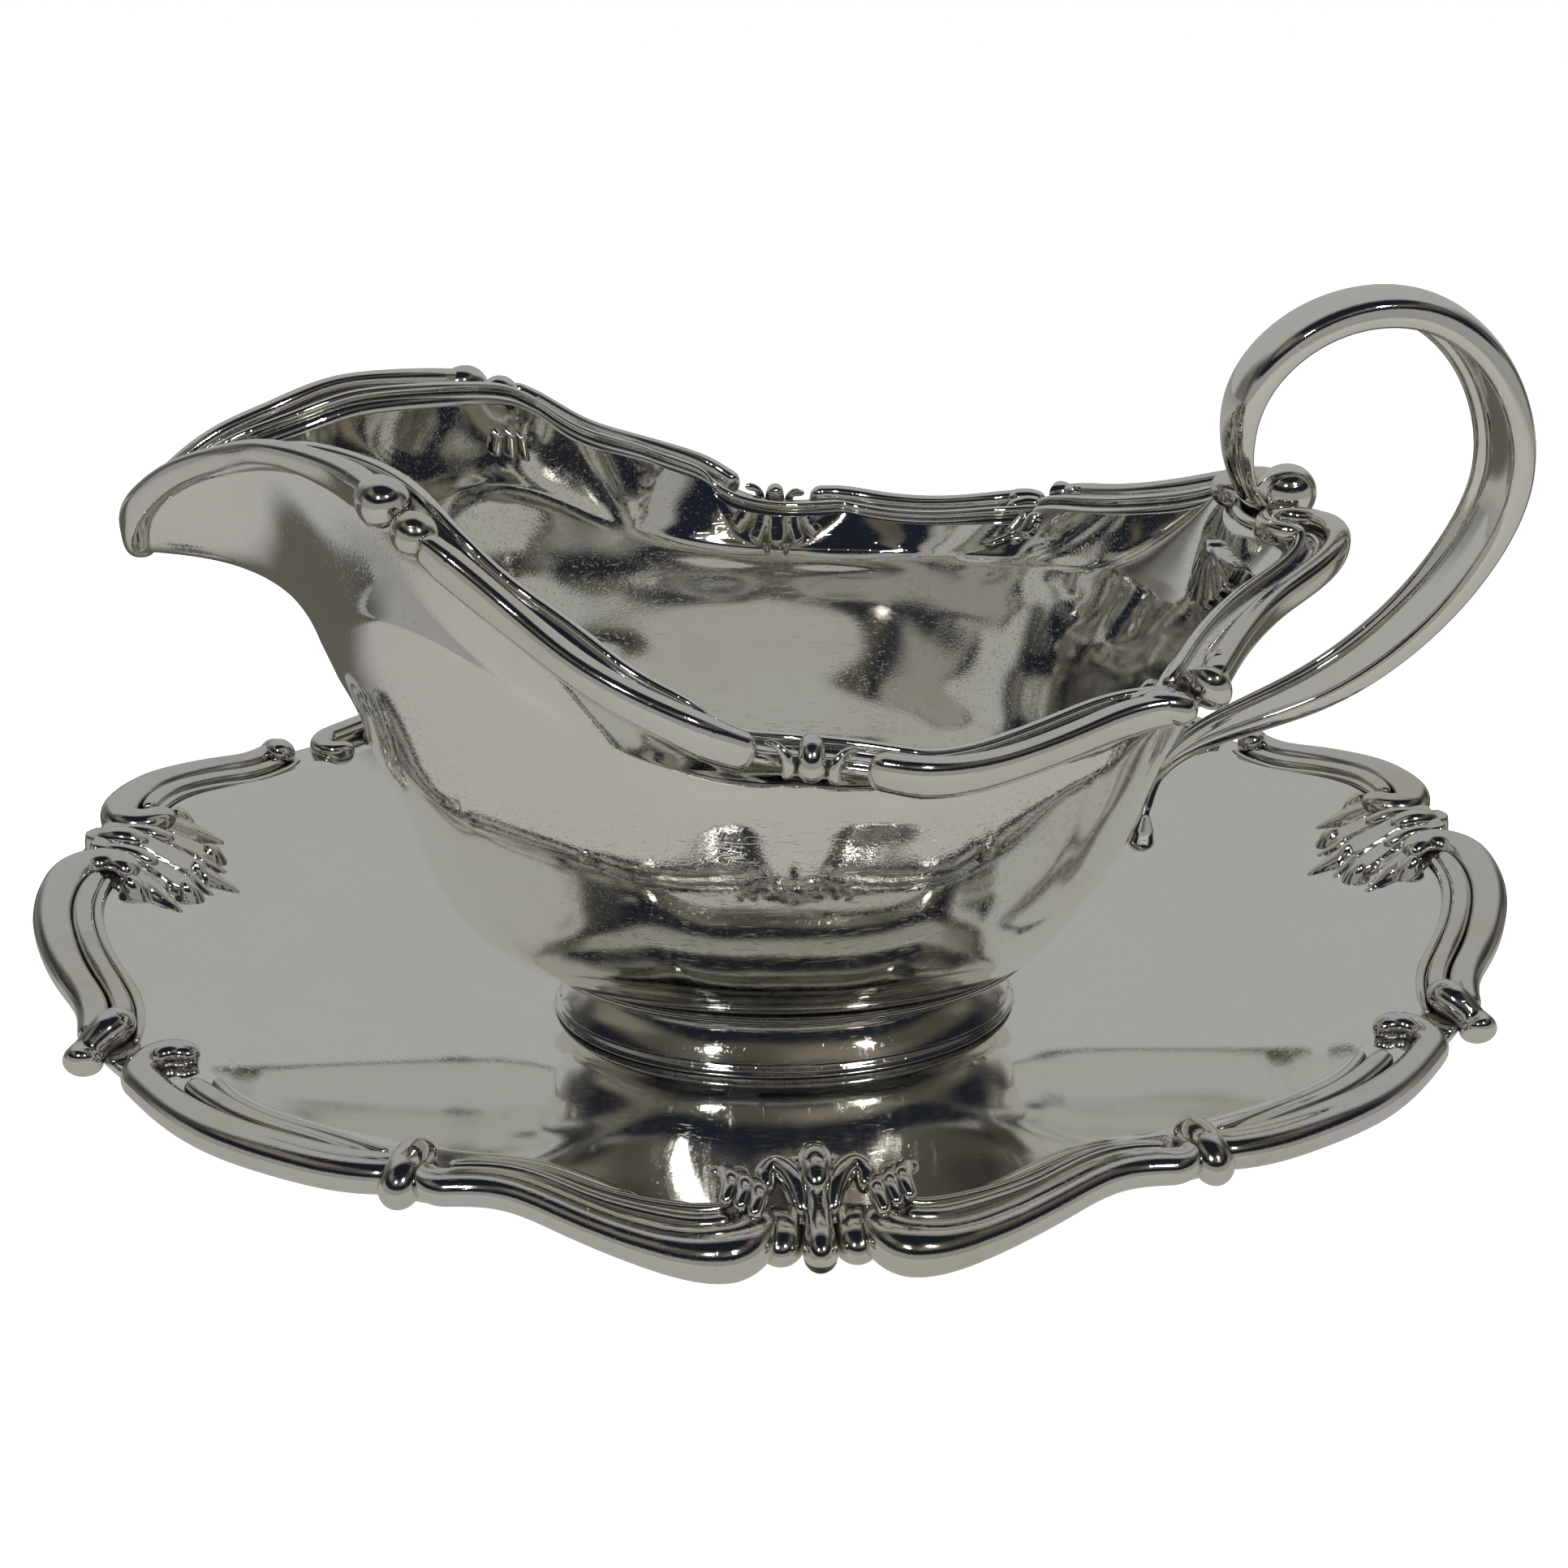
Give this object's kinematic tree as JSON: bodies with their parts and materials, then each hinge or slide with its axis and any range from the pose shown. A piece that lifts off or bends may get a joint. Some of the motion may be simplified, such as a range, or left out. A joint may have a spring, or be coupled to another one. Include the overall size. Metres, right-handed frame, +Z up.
{
  "type": "sauce boat",
  "caption": "Footed silver sauce boat with flared spout, scrolled rim and high loop handle, standing on its shaped oval underplate.",
  "frame": {"origin": "centre of the stand's underside, on the table", "axes": "+X towards the handle, -X towards the spout, +Y across the boat, +Z up"},
  "size_m": [0.2416, 0.1846, 0.1256],
  "materials": {
    "stand_silver": "polished silver with fine wear scratches",
    "stand_cast": "polished cast silver, dark in the recesses",
    "boat_silver": "polished silver with fine wear scratches",
    "boat_cast": "polished cast silver, dark in the recesses",
    "handle_silver": "polished silver strap"
  },
  "bodies": {
    "stand": {"stand_ear_bead_handle_back": "stand_cast", "stand_ear_bead_handle_front": "stand_cast", "stand_ear_bead_spout_back": "stand_cast", "stand_ear_bead_spout_front": "stand_cast", "stand_end_boss_handle": "stand_cast", "stand_end_boss_spout": "stand_cast", "stand_end_palmette_handle": "stand_cast", "stand_end_palmette_spout": "stand_cast", "stand_end_scroll_handle_back": "stand_cast", "stand_end_scroll_handle_front": "stand_cast", "stand_end_scroll_spout_back": "stand_cast", "stand_end_scroll_spout_front": "stand_cast", "stand_mid_boss_back": "stand_cast", "stand_mid_boss_front": "stand_cast", "stand_mid_palmette_back": "stand_cast", "stand_mid_palmette_front": "stand_cast", "stand_mid_scroll_handle_back": "stand_cast", "stand_mid_scroll_handle_front": "stand_cast", "stand_mid_scroll_spout_back": "stand_cast", "stand_mid_scroll_spout_front": "stand_cast", "stand_notch_bead_handle_back": "stand_cast", "stand_notch_bead_handle_front": "stand_cast", "stand_notch_bead_spout_back": "stand_cast", "stand_notch_bead_spout_front": "stand_cast", "stand_sheet": "stand_silver", "stand_side_scroll_handle_back": "stand_cast", "stand_side_scroll_handle_front": "stand_cast", "stand_side_scroll_spout_back": "stand_cast", "stand_side_scroll_spout_front": "stand_cast"},
    "boat": {"bowl": "boat_silver", "corner_ornament_back": "boat_cast", "corner_ornament_front": "boat_cast", "end_shell": "boat_cast", "foot_collar": "boat_silver", "foot_ring": "boat_silver", "handle": "handle_silver", "handle_ball": "handle_silver", "handle_drop": "handle_silver", "mid_ornament_back": "boat_cast", "mid_ornament_front": "boat_cast", "rim_end_scroll_back": "boat_cast", "rim_end_scroll_front": "boat_cast", "rim_shoulder_scroll_back": "boat_cast", "rim_shoulder_scroll_front": "boat_cast", "rim_waist_scroll_back": "boat_cast", "rim_waist_scroll_front": "boat_cast", "shoulder_knob_back": "boat_cast", "shoulder_knob_front": "boat_cast", "spout_lip": "boat_cast"}
  },
  "joints": [
    {"name": "boat_lift", "type": "slide", "parent": "stand", "child": "boat", "axis": [0, 0, 1], "range_m": [0, 0.15]}
  ]
}
